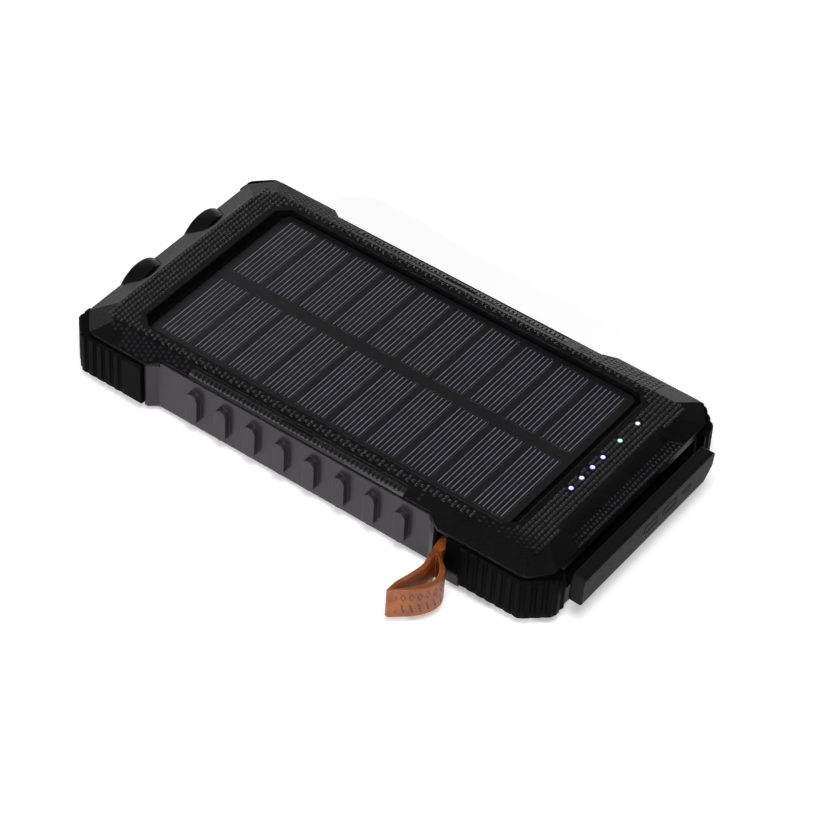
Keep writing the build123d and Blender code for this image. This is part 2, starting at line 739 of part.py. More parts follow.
# ------------------------------------------------------------------ batteries
for name, z in (("battery_cell_lower", 2.05), ("battery_cell_upper", 8.35)):
    with BuildPart() as battery:
        with BuildSketch(Plane.XY.offset(z)):
            with Locations((0, 13.4)):
                RectangleRounded(63.0, 90.0, 2.0)
        extrude(amount=6.2)
        try:
            fillet(battery.edges().filter_by(Axis.Y), 1.2)
        except Exception:
            pass
    save(battery.part, name, (0.6, 0.6, 0.62))

with BuildPart() as foam_pad:
    with BuildSketch(Plane.XY.offset(14.6)):
        with Locations((0, 13.4)):
            Rectangle(56.0, 80.0)
    extrude(amount=0.95)
save(foam_pad.part, "foam_pad", (0.15, 0.15, 0.15))

# ------------------------------------------------------------------- leads
def lead(points, radii, r):
    """A round lead along straight runs joined by tangent arcs."""
    with BuildPart() as p:
        with BuildLine() as path:
            FilletPolyline(*points, radius=radii)
        with BuildSketch(Plane(origin=path.wire() @ 0, z_dir=path.wire() % 0)):
            Circle(r)
        sweep()
    return p


# battery leads: from the cells' end over the board's inner edge to two pads
for name, x, col in (("battery_lead_red", 6.0, (0.8, 0.05, 0.05)), ("battery_lead_black", -6.0, (0.05, 0.05, 0.05))):
    b = lead([(x, -31.6, 11.4), (x, -34.4, 11.4), (x + 1.5, -38.5, 10.2), (x + 1.5, -43.5, 10.2), (x + 1.5, -43.5, 7.5)],
             [2.5, 2.5, 1.8], 0.7)
    save(b.part, name, col)

# torch leads: along the right side of the cells from the torch board to the main board
with BuildPart() as torch_leads:
    for dz, yp in ((4.2, -42.0), (6.0, -44.5)):
        g = lead([(20.0, 62.9, dz + 2.4), (20.0, 61.3, dz + 2.4), (32.8, 60.3, dz + 2.4), (32.8, 54.0, dz + 2.0), (32.8, -26.0, dz + 2.0),
                  (32.8, -30.5, dz + 5.5), (28.5, -34.8, dz + 5.5), (28.5, yp, dz + 5.5), (28.5, yp, 7.5)],
                 [0.8, 2.0, 3.0, 3.0, 2.0, 2.0, 1.2], 0.5)
        add(g.part)
save(torch_leads.part, "torch_leads", (0.85, 0.85, 0.85))

# panel leads: from the back of the laminate down to the board
with BuildPart() as panel_leads:
    for x in (-1.2, 1.2):
        g = lead([(x, -52.0, 17.0), (x, -52.0, 13.6), (x * 1.6, -48.6, 12.2), (x * 1.6, -46.5, 10.4), (x * 1.6, -46.5, 7.5)],
                 [1.4, 1.2, 1.2], 0.5)
        add(g.part)
save(panel_leads.part, "panel_leads", (0.7, 0.1, 0.1))

# --------------------------------------------------------- strap and its pin
with BuildPart() as strap_pin:
    with BuildSketch(Plane.XY.offset(1.7)):
        with Locations((strap_pin_x, strap_y)):
            Circle(1.05)
    extrude(amount=12.4)
save(strap_pin.part, "strap_pin", (0.6, 0.6, 0.6))

# leather band: round the pin, two layers out through the mouth, then an open loop with a sharp fold
x0 = strap_pin_x
with BuildPart() as strap:
    with BuildSketch(Plane.XY.offset(strap_z0)):
        with BuildLine():
            a = Spline((-40.7, strap_y - 1.55), (-43.5, -49.0), (-46.8, -52.3), (-50.9, -53.3), (-56.0, -51.0), (-61.3, -45.3),
                       tangents=[(-1, -0.3), (-0.75, 0.75)])
            Line(a @ 1, (-61.2, -44.4))
            c = Spline((-61.2, -44.4), (-57.6, -44.5), (-53.2, -45.5), (-48.6, -46.3), (-44.6, -45.3), (-40.7, strap_y + 1.25),
                       tangents=[(1, -0.05), (0.95, 0.35)])
            Line(c @ 1, (x0, strap_y + 2.15))
            Line((x0, strap_y + 2.15), (x0, strap_y - 2.15))
            Line((x0, strap_y - 2.15), a @ 0)
        make_face()
        with Locations((x0, strap_y)):
            Circle(2.15)
        with BuildLine():
            a = Spline((-42.6, -46.4), (-44.7, -48.6), (-47.7, -50.9), (-50.9, -51.8), (-55.2, -49.8), (-60.0, -45.6),
                       tangents=[(-0.8, -0.6), (-0.75, 0.75)])
            c = Spline(a @ 1, (-57.5, -45.9), (-53.2, -47.0), (-48.7, -47.8), (-45.2, -47.1), (-42.6, -46.4),
                       tangents=[(1, -0.1), (0.9, 0.4)])
        make_face(mode=Mode.SUBTRACT)
        with Locations((x0, strap_y)):
            Circle(1.10, mode=Mode.SUBTRACT)
    extrude(amount=strap_z1 - strap_z0)
    # the neck narrows upwards into the mouth
    with BuildSketch(Plane.XZ.offset(40)):
        with BuildLine():
            Polyline((-45.5, strap_z1 + 0.1), (-41.2, strap_z1 - 1.6), (-33.0, strap_z1 - 1.6), (-33.0, strap_z1 + 0.5), (-45.5, strap_z1 + 0.5), close=True)
        make_face()
    extrude(amount=15, mode=Mode.SUBTRACT)
save(strap.part, "strap", (0.75, 0.42, 0.22))

# --------------------------------------------------------- port flap and pin
with BuildPart() as port_flap:
    with BuildSketch(Plane.YZ.offset(flap_x0)):
        with BuildLine():
            Polyline((-79.75, 17.6), (-83.1, 17.6), (-83.45, 17.2), (-83.1, 8.9), (-82.5, 8.5), (-79.1, 8.8), close=True)
        make_face()
    extrude(amount=flap_x1 - flap_x0)
    # end view of the bar: rounded corners, and the lower right one cut away
    with BuildSketch(Plane.XZ.offset(78.0)):
        with BuildLine():
            Polyline((flap_x0, 8.0), (flap_x1 - 4.2, 8.0), (flap_x1 - 0.2, 12.6), (flap_x1, 17.6), (flap_x0, 17.6), close=True)
        make_face()
        fillet(vertices().sort_by(Axis.X)[-3:], 1.4)
        fillet(vertices().group_by(Axis.X)[0], 0.9)
    extrude(amount=8, mode=Mode.INTERSECT)
    bar = port_flap.edges().group_by(Axis.X)[0] + port_flap.edges().group_by(Axis.X)[-1]
    try:
        fillet(bar, 0.5)
    except Exception:
        pass
    # web down to the hinge barrel
    with BuildSketch(Plane.YZ.offset(-19.4)):
        with BuildLine():
            Polyline((-79.3, 10.0), (-80.9, 10.0), (-80.6, 8.0), (-79.6, 5.6), (-78.3, 4.9), (-77.4, 5.8), (-78.5, 7.6), close=True)
        make_face()
        with Locations((hinge_y, hinge_z)):
            Circle(1.5)
    extrude(amount=38.8)
    # plugs that fill the mouths of the sockets' recess
    with BuildSketch(Plane.XZ.offset(77.6)):
        with Locations((-15.0, 11.2), (4.0, 11.2)):
            RectangleRounded(11.6, 4.6, 0.8)
        with Locations((20.5, 10.4)):
            RectangleRounded(6.6, 2.6, 0.6)
    extrude(amount=3.5)
    with BuildSketch(Plane.YZ.offset(-30)):
        with Locations((hinge_y, hinge_z)):
            Circle(pin_r + 0.05)
    extrude(amount=60, mode=Mode.SUBTRACT)
save(port_flap.part, "port_flap", (0.1, 0.1, 0.1))

with BuildPart() as flap_pin:
    with BuildSketch(Plane.YZ.offset(-22.2)):
        with Locations((hinge_y, hinge_z)):
            Circle(pin_r)
    extrude(amount=44.4)
save(flap_pin.part, "flap_pin", (0.6, 0.6, 0.6))
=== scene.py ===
import json
import math

import bpy
import bmesh
from mathutils import Matrix, Vector


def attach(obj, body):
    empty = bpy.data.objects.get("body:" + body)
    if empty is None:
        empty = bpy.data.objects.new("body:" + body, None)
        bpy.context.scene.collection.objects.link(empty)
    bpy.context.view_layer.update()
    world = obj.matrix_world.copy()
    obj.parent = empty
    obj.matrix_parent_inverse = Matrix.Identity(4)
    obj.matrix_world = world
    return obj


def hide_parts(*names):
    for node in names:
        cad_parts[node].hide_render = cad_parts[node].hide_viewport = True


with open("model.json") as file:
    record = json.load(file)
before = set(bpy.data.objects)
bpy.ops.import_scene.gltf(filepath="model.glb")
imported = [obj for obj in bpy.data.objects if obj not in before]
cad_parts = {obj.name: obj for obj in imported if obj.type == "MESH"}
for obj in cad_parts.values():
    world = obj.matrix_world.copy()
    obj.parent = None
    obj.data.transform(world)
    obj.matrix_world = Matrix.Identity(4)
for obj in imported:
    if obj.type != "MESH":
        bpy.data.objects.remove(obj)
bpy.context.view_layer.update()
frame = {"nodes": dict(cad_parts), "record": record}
nodes = frame["nodes"]
MM = 0.001

# ------------------------------------------------------------------ materials


def new_material(name):
    m = bpy.data.materials.new(name)
    m.use_nodes = True
    nt = m.node_tree
    for n in list(nt.nodes):
        nt.nodes.remove(n)
    out = nt.nodes.new("ShaderNodeOutputMaterial")
    bsdf = nt.nodes.new("ShaderNodeBsdfPrincipled")
    nt.links.new(bsdf.outputs["BSDF"], out.inputs["Surface"])
    return m, nt, bsdf


def noise(nt, coord, scale, detail=3.0, rough=0.55):
    n = nt.nodes.new("ShaderNodeTexNoise")
    n.inputs["Scale"].default_value = scale
    n.inputs["Detail"].default_value = detail
    n.inputs["Roughness"].default_value = rough
    nt.links.new(coord, n.inputs["Vector"])
    return n.outputs["Fac"]


def ramp(nt, fac, lo, hi, a=0.3, b=0.7):
    r = nt.nodes.new("ShaderNodeMapRange")
    r.inputs["From Min"].default_value = a
    r.inputs["From Max"].default_value = b
    r.inputs["To Min"].default_value = lo
    r.inputs["To Max"].default_value = hi
    nt.links.new(fac, r.inputs["Value"])
    return r.outputs["Result"]


def mix_colour(nt, fac, a, b):
    m = nt.nodes.new("ShaderNodeMix")
    m.data_type = "RGBA"
    m.inputs["A"].default_value = (*a, 1)
    m.inputs["B"].default_value = (*b, 1)
    nt.links.new(fac, m.inputs["Factor"])
    return m.outputs["Result"]


def plain(name, base, rough, metallic=0.0, coat=0.0, coat_rough=0.1, var=0.25, rough_var=0.08,
          grain=2600.0, grain_depth=0.00002, grain_strength=0.35, blotch=90.0, spec=0.5, edge=0.00012, clear=0.0, ior=1.45):
    """A surface with uneven colour, uneven gloss, moulded grain and softened edges."""
    m, nt, b = new_material(name)
    co = nt.nodes.new("ShaderNodeTexCoord").outputs["Object"]
    big = noise(nt, co, blotch, 4.0)
    fine = noise(nt, co, grain, 2.0)
    dark = tuple(c * (1 - var) for c in base)
    lite = tuple(min(1.0, c * (1 + var)) for c in base)
    nt.links.new(mix_colour(nt, ramp(nt, big, 0.0, 1.0), dark, lite), b.inputs["Base Color"])
    nt.links.new(ramp(nt, fine, max(0.02, rough - rough_var), min(1.0, rough + rough_var)), b.inputs["Roughness"])
    b.inputs["Metallic"].default_value = metallic
    b.inputs["Specular IOR Level"].default_value = spec
    b.inputs["IOR"].default_value = ior
    b.inputs["Coat Weight"].default_value = coat
    b.inputs["Coat Roughness"].default_value = coat_rough
    b.inputs["Transmission Weight"].default_value = clear
    bump = nt.nodes.new("ShaderNodeBump")
    bump.inputs["Strength"].default_value = grain_strength
    bump.inputs["Distance"].default_value = grain_depth
    nt.links.new(fine, bump.inputs["Height"])
    if edge:
        bev = nt.nodes.new("ShaderNodeBevel")
        bev.samples = 4
        bev.inputs["Radius"].default_value = edge
        nt.links.new(bev.outputs["Normal"], bump.inputs["Normal"])
    nt.links.new(bump.outputs["Normal"], b.inputs["Normal"])
    return m


def glow(name, core, strength, rim, centres):
    """A lit indicator: pale core, tinted rim round each of the given centres."""
    m, nt, b = new_material(name)
    co = nt.nodes.new("ShaderNodeTexCoord").outputs["Object"]
    near = None
    for x_, y_ in centres:
        v = nt.nodes.new("ShaderNodeVectorMath")
        v.operation = "DISTANCE"
        v.inputs[1].default_value = (x_ * MM, y_ * MM, 20.4 * MM)
        nt.links.new(co, v.inputs[0])
        if near is None:
            near = v.outputs["Value"]
        else:
            mn = nt.nodes.new("ShaderNodeMath")
            mn.operation = "MINIMUM"
            nt.links.new(near, mn.inputs[0])
            nt.links.new(v.outputs["Value"], mn.inputs[1])
            near = mn.outputs["Value"]
    grain = noise(nt, co, 2500.0, 2.0)
    wob = nt.nodes.new("ShaderNodeMath")
    wob.operation = "MULTIPLY_ADD"
    wob.inputs[1].default_value = 0.00012
    nt.links.new(grain, wob.inputs[0])
    nt.links.new(near, wob.inputs[2])
    col = mix_colour(nt, ramp(nt, wob.outputs["Value"], 0.0, 1.0, 0.00030, 0.00074), core, rim)
    nt.links.new(col, b.inputs["Base Color"])
    nt.links.new(col, b.inputs["Emission Color"])
    b.inputs["Emission Strength"].default_value = strength
    b.inputs["Roughness"].default_value = 0.3
    return m


MAT = {
    "shell_black": plain("shell_black", (0.0032, 0.0032, 0.0036), 0.34, var=0.30, spec=0.18, grain_strength=0.18, edge=0.00035),
    "shell_weave": plain("shell_weave", (0.0070, 0.0066, 0.0080), 0.34, var=0.50, blotch=700.0, spec=0.34, edge=0.00008),
    "rubber_black": plain("rubber_black", (0.0013, 0.0013, 0.0013), 0.45, spec=0.035, var=0.3, grain=1800.0, edge=0.00035),
    "flap_rubber": plain("flap_rubber", (0.0046, 0.0046, 0.0048), 0.50, spec=0.09, var=0.2, grain=2200.0, edge=0.0006),
    "strip_black": plain("strip_black", (0.012, 0.012, 0.013), 0.36, var=0.2, edge=0.0001),
    "cover_grey": plain("cover_grey", (0.0180, 0.0150, 0.0190), 0.32, var=0.14, rough_var=0.04, grain=2400.0, grain_strength=0.15, spec=0.34, edge=0.0004),
    "laminate_resin": plain("laminate_resin", (0.0040, 0.0040, 0.0048), 0.35, rough_var=0.03, grain_strength=0.05, coat=0.08, coat_rough=0.25, var=0.2, grain=1200.0, edge=0.0003),
    "cell_silicon": plain("cell_silicon", (0.0050, 0.0050, 0.0100), 0.32, rough_var=0.03, grain_strength=0.05, coat=0.08, coat_rough=0.22, var=0.45, blotch=220.0, grain=900.0, edge=0),
    "strap_leather": plain("strap_leather", (0.235, 0.060, 0.013), 0.42, var=0.38, grain=1500.0, grain_depth=0.00006, grain_strength=0.6, blotch=260.0, edge=0.0003),
    "steel": plain("steel", (0.55, 0.55, 0.57), 0.28, metallic=1.0, var=0.1),
    "steel_dark": plain("steel_dark", (0.08, 0.08, 0.085), 0.35, metallic=1.0, var=0.2),
    "lens_clear": plain("lens_clear", (0.9, 0.93, 0.96), 0.06, var=0.02, rough_var=0.03, clear=0.9, grain_strength=0.05, edge=0.0002),
    "reflector_chrome": plain("reflector_chrome", (0.8, 0.8, 0.82), 0.12, metallic=1.0, var=0.05),
    "led_yellow": plain("led_yellow", (0.85, 0.7, 0.15), 0.4, var=0.15),
    "led_white": plain("led_white", (0.8, 0.8, 0.75), 0.3, var=0.1),
    "pcb_green": plain("pcb_green", (0.012, 0.11, 0.04), 0.35, var=0.2, blotch=400.0),
    "chip_black": plain("chip_black", (0.02, 0.02, 0.02), 0.5, var=0.2),
    "inductor_grey": plain("inductor_grey", (0.12, 0.12, 0.125), 0.6, var=0.25),
    "tongue_white": plain("tongue_white", (0.7, 0.7, 0.71), 0.4, var=0.05),
    "light_blue": glow("light_blue", (0.86, 0.88, 1.0), 1.2, (0.05, 0.07, 0.75), [(4.6, -63.7), (-0.1, -63.7), (-5.0, -63.7), (-9.7, -63.7)]),
    "light_green": glow("light_green", (0.75, 1.0, 0.82), 0.9, (0.01, 0.26, 0.10), [(12.35, -63.7)]),
    "light_white": glow("light_white", (1.0, 1.0, 1.0), 0.7, (0.12, 0.13, 0.13), [(20.5, -63.7)]),
    "button_black": plain("button_black", (0.012, 0.012, 0.013), 0.5, var=0.2),
    "battery_foil": plain("battery_foil", (0.55, 0.55, 0.57), 0.35, metallic=1.0, var=0.1),
    "foam_black": plain("foam_black", (0.02, 0.02, 0.02), 0.9, var=0.4, grain=900.0, grain_strength=1.0),
    "lead_red": plain("lead_red", (0.5, 0.01, 0.01), 0.35, var=0.15),
    "lead_black": plain("lead_black", (0.015, 0.015, 0.015), 0.35, var=0.2),
    "lead_white": plain("lead_white", (0.7, 0.7, 0.7), 0.35, var=0.1),
    "finger_silver": plain("finger_silver", (0.16, 0.16, 0.178), 0.45, metallic=0.0, var=0.35, blotch=500.0, edge=0),
}


def darken_pressed(m, amount, tint):
    """Mixes the base colour towards a burnt tint where the mesh says it is pressed in."""
    nt = m.node_tree
    b = next(n for n in nt.nodes if n.type == "BSDF_PRINCIPLED")
    link = b.inputs["Base Color"].links[0]
    src = link.from_socket
    at = nt.nodes.new("ShaderNodeAttribute")
    at.attribute_name = "press"
    mixn = nt.nodes.new("ShaderNodeMix")
    mixn.data_type = "RGBA"
    mixn.inputs["B"].default_value = (*tint, 1)
    k = nt.nodes.new("ShaderNodeMath")
    k.operation = "MULTIPLY"
    k.inputs[1].default_value = amount
    nt.links.new(at.outputs["Fac"], k.inputs[0])
    nt.links.new(k.outputs["Value"], mixn.inputs["Factor"])
    nt.links.new(src, mixn.inputs["A"])
    nt.links.new(mixn.outputs["Result"], b.inputs["Base Color"])


darken_pressed(MAT["strap_leather"], 0.85, (0.045, 0.012, 0.004))


def paint(obj, slot, look=None):
    obj.data.materials.clear()
    obj.data.materials.append(MAT[look or slot])


for part in frame["record"]["subparts"]:
    if part["node"] in nodes:
        paint(nodes[part["node"]], part["material_slot"])


def mesh_object(name, verts, faces, slot, body, look=None, smooth=False, scale=MM):
    me = bpy.data.meshes.new(name)
    me.from_pydata([tuple(c * scale for c in v) for v in verts], [], faces)
    me.validate()
    me.update()
    if smooth:
        for p in me.polygons:
            p.use_smooth = True
    o = bpy.data.objects.new(name, me)
    bpy.context.scene.collection.objects.link(o)
    paint(o, slot, look)
    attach(o, body)
    return o


def box_into(verts, faces, x0, x1, y0, y1, z0, z1, taper=0.0):
    i = len(verts)
    t = taper
    verts += [(x0, y0, z0), (x1, y0, z0), (x1, y1, z0), (x0, y1, z0),
              (x0 + t, y0 + t, z1), (x1 - t, y0 + t, z1), (x1 - t, y1 - t, z1), (x0 + t, y1 - t, z1)]
    faces += [(i, i + 3, i + 2, i + 1), (i + 4, i + 5, i + 6, i + 7), (i, i + 1, i + 5, i + 4),
              (i + 1, i + 2, i + 6, i + 5), (i + 2, i + 3, i + 7, i + 6), (i + 3, i, i + 4, i + 7)]


def soften(name, width, angle=28.0, segments=3):
    """Rounds the moulded edges of a CAD node."""
    o = nodes[name]
    w = o.modifiers.new("weld", "WELD")
    w.merge_threshold = 0.000002
    b = o.modifiers.new("bevel", "BEVEL")
    b.width = width * MM
    b.segments = segments
    b.limit_method = "ANGLE"
    b.angle_limit = math.radians(angle)
    b.harden_normals = False
    b.use_clamp_overlap = True


soften("top_shell", 0.25)
for name in ("bumper_torch_left", "bumper_torch_right", "bumper_port_left", "bumper_port_right"):
    soften(name, 0.34, 30.0, 3)
for name in ("side_cover_left", "side_cover_right"):
    soften(name, 0.30, 30.0, 3)
soften("port_flap", 0.55, 40.0, 4)
soften("torch_housing", 0.25, 30.0, 3)
soften("grip_strip_left", 0.12, 30.0, 2)
soften("grip_strip_right", 0.12, 30.0, 2)
soften("solar_laminate", 0.15, 40.0, 2)

# --------------------------------------------------- contact fingers on the cells
verts, faces = [], []
for row in (-1, 1):
    for k in range(10):
        yc = 11.27 * (k - 4.5)
        for j in range(7):
            y = yc + 1.365 * (j - 3)
            xa, xb = (1.95 + 0.35, 27.95 - 0.35)
            if row < 0:
                xa, xb = -xb, -xa
            box_into(verts, faces, xa, xb, y - 0.10, y + 0.10, 18.59, 18.62)
mesh_object("contact_fingers", verts, faces, "cell_silicon", "case", "finger_silver")

# ------------------------------------------- woven texture on the frame and bevels
Z_TOP, Z_EDGE = 20.25, 17.7


def inside_octagon(x, y, hw, yt, yp, cx, cyt, cyp):
    x = abs(x)
    if x > hw or y > yt or y < yp:
        return False
    if y > yt - cyt and (x - (hw - cx)) / cx + (y - (yt - cyt)) / cyt > 1:
        return False
    if y < yp + cyp and (x - (hw - cx)) / cx + ((yp + cyp) - y) / cyp > 1:
        return False
    return True


def crown(x, y):
    """Height of the top shell's outside over (x, y), and the slope there."""
    t = 0.0
    ax = abs(x)
    t = max(t, (ax - 33.3) / 7.05)
    t = max(t, (y - 68.9) / 6.1)
    t = max(t, (-70.2 - y) / 5.8)
    return Z_TOP - max(0.0, t) * (Z_TOP - Z_EDGE), t


def ledge(x, y):
    """Height of the scooped ledge over the ports, or None outside it."""
    if y > -72.3 or y < -75.7:
        return None
    half = 21.4 + (-70.0 - y) * 3.5 / 8.0
    if abs(x) > half - 0.7:
        return None
    return 17.8 + (-72.3 - y) * -0.3 / 5.7


lights = [(4.6, -63.7), (-0.1, -63.7), (-5.0, -63.7), (-9.7, -63.7), (12.35, -63.7), (20.5, -63.7)]
verts, faces = [], []
PX, PY = 1.34, 1.42


def tuft(x, y, z, nx, nz, ny, h, w, l):
    """One small raised tile, its base sunk a little into the surface."""
    n = Vector((nx, ny, nz)).normalized()
    t1 = Vector((0, 1, 0)) - n * n.y
    t1.normalize()
    t2 = t1.cross(n)
    i = len(verts)
    base = Vector((x, y, z)) - n * 0.04
    rings = ((1.0, 0.0), (0.82, 0.65), (0.42, 1.0))
    for s_, h_ in rings:
        for a_, b_ in ((-1, -1), (1, -1), (1, 1), (-1, 1)):
            verts.append(tuple(base + t2 * (a_ * w * s_) + t1 * (b_ * l * s_) + n * (h * h_ + 0.0)))
    for r_ in range(2):
        for k_ in range(4):
            a0 = i + r_ * 4 + k_
            a1 = i + r_ * 4 + (k_ + 1) % 4
            faces.append((a0, a1, a1 + 4, a0 + 4))
    faces.append((i + 8, i + 9, i + 10, i + 11))


row = 0
y = -75.4
while y < 73.5:
    x = -40.0 + (PX / 2 if row % 2 else 0.0)
    while x < 40.0:
        ax = abs(x)
        lz = ledge(x, y)
        z, t = crown(x, y)
        ok, h = True, 0.185
        nx, ny, nz = 0.0, 0.0, 1.0
        if lz is not None:
            z = lz
        else:
            # inside the panel bay and its smooth lip
            if inside_octagon(x, y, 31.9, 61.5, -61.5, 3.4, 3.4, 3.4):
                ok = False
            if -72.6 < y < -69.6 and ax < 23.4:
                ok = False
            if y < -72.6 and ax < 25.6:
                ok = False
            if not inside_octagon(x, y, 39.6, 73.6, -75.3, 6.9, 6.0, 5.0):
                ok = False
            if 0.0 < t < 0.10:
                ok = False
            if t >= 0.10:
                if ax > 33.3 and y > -60 and y < 66:
                    nx, nz = (0.34 if x > 0 else -0.34), 0.94
                    h = 0.16 if x > 0 else 0.10
                    if -35.0 < y < 39.5 and ax > 34.0:
                        ok = False
                    if ax > 37.0 and -42.5 < y < 48.5:
                        ok = False
                    if x < 0 and y < -36:
                        ok = False
                else:
                    ok = False
            if t <= 0 and x < -27.5 and y < -50:
                # the weave fades out towards the near corner
                h = 0.185 * max(0.15, 1 - (abs(x) - 27.5) / 7.0)
            if abs(x) > 36.4 and (y > 60 or y < -62):
                ok = False
        if any((x - a) ** 2 + (y - b) ** 2 < 1.25 ** 2 for a, b in lights):
            ok = False
        if ok:
            if t <= 0 and lz is None:
                h = min(h, 0.185)
            tuft(x, y, z, nx, nz, ny, h, 0.50, 0.46)
        x += PX
    y += PY
    row += 1
mesh_object("frame_weave", verts, faces, "shell_black", "case", "shell_weave")

# ------------------------------------------------- leather strap with a pressed motif


def smooth_line(points, per=14):
    """Catmull-Rom curve through the points, sampled."""
    pts = [Vector(p) for p in points]
    ext = [pts[0] * 2 - pts[1]] + pts + [pts[-1] * 2 - pts[-2]]
    out = []
    for i in range(1, len(ext) - 2):
        p0, p1, p2, p3 = ext[i - 1], ext[i], ext[i + 1], ext[i + 2]
        for k in range(per):
            t = k / per
            out.append(0.5 * ((2 * p1) + (p2 - p0) * t + (2 * p0 - 5 * p1 + 4 * p2 - p3) * t * t
                              + (3 * p1 - p0 - 3 * p2 + p3) * t ** 3))
    out.append(pts[-1])
    return out


def resample(points, step):
    """Equal steps along a line."""
    total = sum((b - a).length for a, b in zip(points, points[1:]))
    n = max(2, int(round(total / step)))
    out, want, acc = [points[0]], total / n, 0.0
    target = want
    for a, b in zip(points, points[1:]):
        d = (b - a).length
        while d > 0 and acc + d >= target - 1e-9 and len(out) < n:
            out.append(a + (b - a) * ((target - acc) / d))
            target += want
        acc += d
    out.append(points[-1])
    return out


SY, PX0 = -45.2, -35.2
front_out = resample(smooth_line([(-40.7, SY - 1.5), (-43.5, -48.9), (-46.8, -52.2), (-50.9, -53.2), (-56.0, -50.95), (-61.15, -45.5)]), 0.16)
back_out = resample(smooth_line([(-61.1, -44.55), (-57.6, -44.6), (-53.2, -45.6), (-48.6, -46.3), (-44.6, -45.4), (-40.7, SY + 1.2)]), 0.5)
neck = [Vector((PX0 + 0.4, SY + 2.05))]
ring = [Vector((PX0 + 2.1 * math.cos(a), SY + 2.1 * math.sin(a))) for a in [math.radians(90 - 15 * k) for k in range(13)]]
outer_line = front_out + [Vector((-61.25, -44.95))] + back_out + ring
inner_line = resample(smooth_line([(-42.6, -46.4), (-44.7, -48.6), (-47.7, -50.8), (-50.9, -51.7), (-55.2, -49.75), (-60.0, -45.65)]), 0.5)[:-1] \
    + resample(smooth_line([(-60.0, -45.65), (-57.5, -45.85), (-53.2, -46.95), (-48.7, -47.7), (-45.2, -47.0), (-42.6, -46.4)]), 0.5)[:-1]
z_lo, z_hi = 3.2, 12.9
arc = [0.0]
for a, b in zip(front_out, front_out[1:]):
    arc.append(arc[-1] + (b - a).length)


def pressed(s, z):
    """Depth of the pressed motif: a row of lozenges over a row of slanted strokes."""
    if not 6.0 < s < arc[-1] - 1.6:
        return 0.0
    k = (s - 6.0) % 2.15 - 1.075
    if 8.5 < z < 11.7:
        r = abs(k) / 0.82 + abs(z - 10.1) / 1.45
        return 0.20 * max(0.0, 1 - abs(r - 0.78) / 0.26)
    if 4.5 < z < 7.7:
        off = k - (z - 6.1) * 0.28
        if abs(z - 6.1) < 1.35:
            return 0.20 * max(0.0, 1 - (abs(off) / 0.30) ** 2)
    return 0.0


def normals_of(line, closed=True):
    out, n = [], len(line)
    for i in range(n):
        d = line[(i + 1) % n] - line[i - 1]
        d = Vector((d[1], -d[0]))
        out.append(d.normalized() if d.length > 1e-9 else Vector((0, 1)))
    return out


zs = [z_lo, z_lo + 0.06, z_lo + 0.16, z_lo + 0.32]
while zs[-1] < z_hi - 0.45:
    zs.append(zs[-1] + 0.14)
zs += [z_hi - 0.32, z_hi - 0.16, z_hi - 0.06, z_hi]
verts, faces, press = [], [], []
outer_n, inner_n = normals_of(outer_line), normals_of(inner_line)
# outward sense of each line, from its area
def area_of(line):
    return 0.5 * sum(a[0] * b[1] - b[0] * a[1] for a, b in zip(line, line[1:] + line[:1]))
so = 1.0 if area_of(outer_line) > 0 else -1.0
si = 1.0 if area_of(inner_line) > 0 else -1.0


def neck_top(x):
    """The band narrows upwards towards the case."""
    return z_hi - max(0.0, min(1.0, (x + 45.5) / 4.3)) * 1.65


for z in zs:
    e = min(z - z_lo, z_hi - z)
    inset = 0.0 if e >= 0.32 else 0.32 - math.sqrt(max(0.0, 0.32 ** 2 - (0.32 - e) ** 2))
    for i, p in enumerate(outer_line):
        d = inset
        dent = pressed(arc[i], z) if i < len(front_out) else 0.0
        d += dent
        press.append(dent / 0.20)
        q = p - outer_n[i] * so * d
        zz = z_lo + (z - z_lo) * (neck_top(p[0]) - z_lo) / (z_hi - z_lo)
        verts.append((q[0], q[1], zz))
    for i, p in enumerate(inner_line):
        q = p + inner_n[i] * si * inset
        zz = z_lo + (z - z_lo) * (neck_top(p[0]) - z_lo) / (z_hi - z_lo)
        verts.append((q[0], q[1], zz))
        press.append(0.0)
no, ni = len(outer_line), len(inner_line)
stride = no + ni
for k in range(len(zs) - 1):
    for i in range(no):
        a0, a1 = k * stride + i, k * stride + (i + 1) % no
        faces.append((a0, a1, a1 + stride, a0 + stride))
    for i in range(ni):
        a0, a1 = k * stride + no + i, k * stride + no + (i + 1) % ni
        faces.append((a1, a0, a0 + stride, a1 + stride))
strap_mesh = mesh_object("strap_leather", verts, faces, "strap_leather", "strap_loop")
dent_layer = strap_mesh.data.attributes.new("press", "FLOAT", "POINT")
for i, v in enumerate(press):
    dent_layer.data[i].value = v
bm = bmesh.new()
bm.from_mesh(strap_mesh.data)
bm.verts.ensure_lookup_table()
for k in (0, len(zs) - 1):
    edges = []
    for lst, off in ((no, 0), (ni, no)):
        for i in range(lst):
            e = bm.edges.get((bm.verts[k * stride + off + i], bm.verts[k * stride + off + (i + 1) % lst]))
            if e:
                edges.append(e)
    bmesh.ops.triangle_fill(bm, edges=edges, use_beauty=True, use_dissolve=False)
bmesh.ops.recalc_face_normals(bm, faces=bm.faces)
bm.to_mesh(strap_mesh.data)
bm.free()
for p in strap_mesh.data.polygons:
    p.use_smooth = abs(p.normal.z) < 0.7
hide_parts("strap")

# ------------------------------------------------- raised port outlines on the flap
verts, faces = [], []


def rounded_rect(cx, cz, w, h, r, n=6):
    out = []
    for qx, qz, a0 in ((1, 1, 0), (-1, 1, 90), (-1, -1, 180), (1, -1, 270)):
        for k in range(n + 1):
            a = math.radians(a0 + 90 * k / n)
            out.append((cx + qx * (w / 2 - r) + r * math.cos(a), cz + qz * (h / 2 - r) + r * math.sin(a)))
    return out


